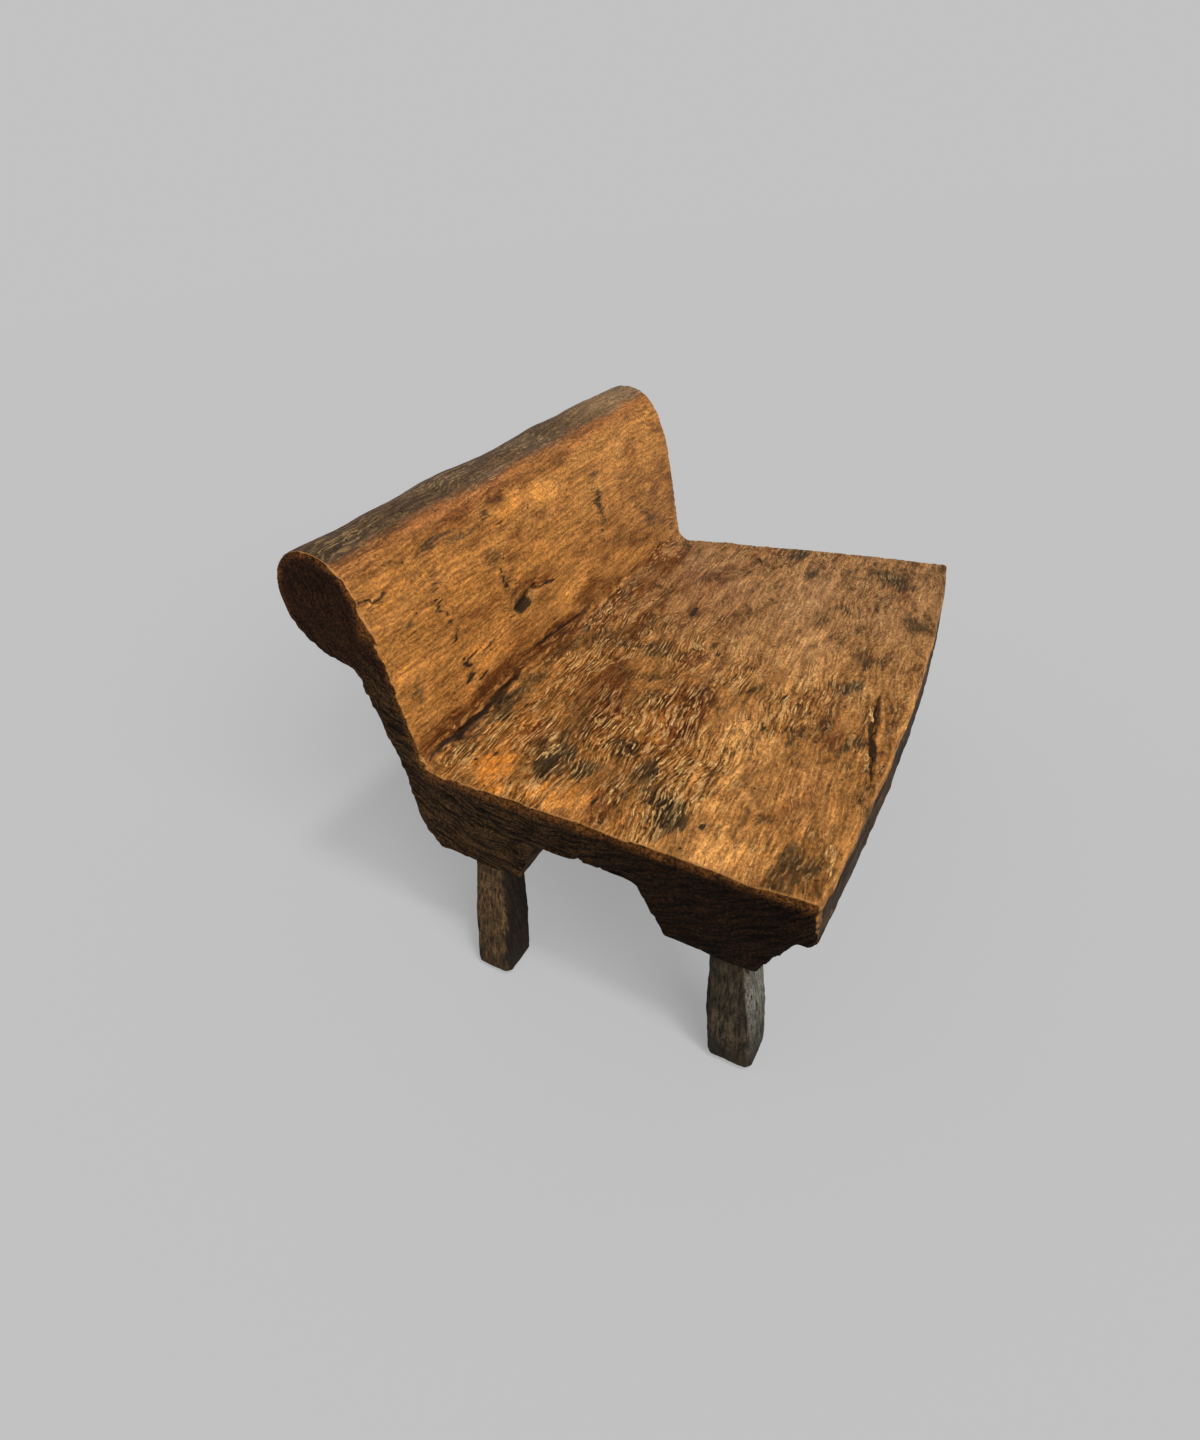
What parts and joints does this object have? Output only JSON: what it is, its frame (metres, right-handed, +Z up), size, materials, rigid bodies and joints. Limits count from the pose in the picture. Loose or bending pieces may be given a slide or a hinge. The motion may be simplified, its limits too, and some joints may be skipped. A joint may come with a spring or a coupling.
{
  "type": "teak bench",
  "caption": "Low rustic bench hewn from one teak log, with a slab seat, a leaning back that ends in a roll, ribs below and short splayed legs.",
  "frame": {"origin": "on the floor, under the middle of the whole bench", "axes": "+Z up, +X along the grain towards the bench's right end as its sitter sees it from the front, -Y the open front of the seat, the back rest at +Y"},
  "size_m": [0.8432, 0.6706, 0.58],
  "materials": {
    "worn_teak": "worn, hewn and waxed",
    "weathered_teak": "grey-brown, dry",
    "clean_teak": "sawn, unfinished"
  },
  "bodies": {
    "root": {"seat_and_back": "worn_teak", "leg_front_left": "weathered_teak", "leg_front_right": "weathered_teak", "leg_rear_left": "weathered_teak", "leg_rear_right": "weathered_teak", "wedge_front_left": "clean_teak", "wedge_front_right": "clean_teak", "wedge_rear_left": "clean_teak", "wedge_rear_right": "clean_teak"}
  },
  "joints": []
}
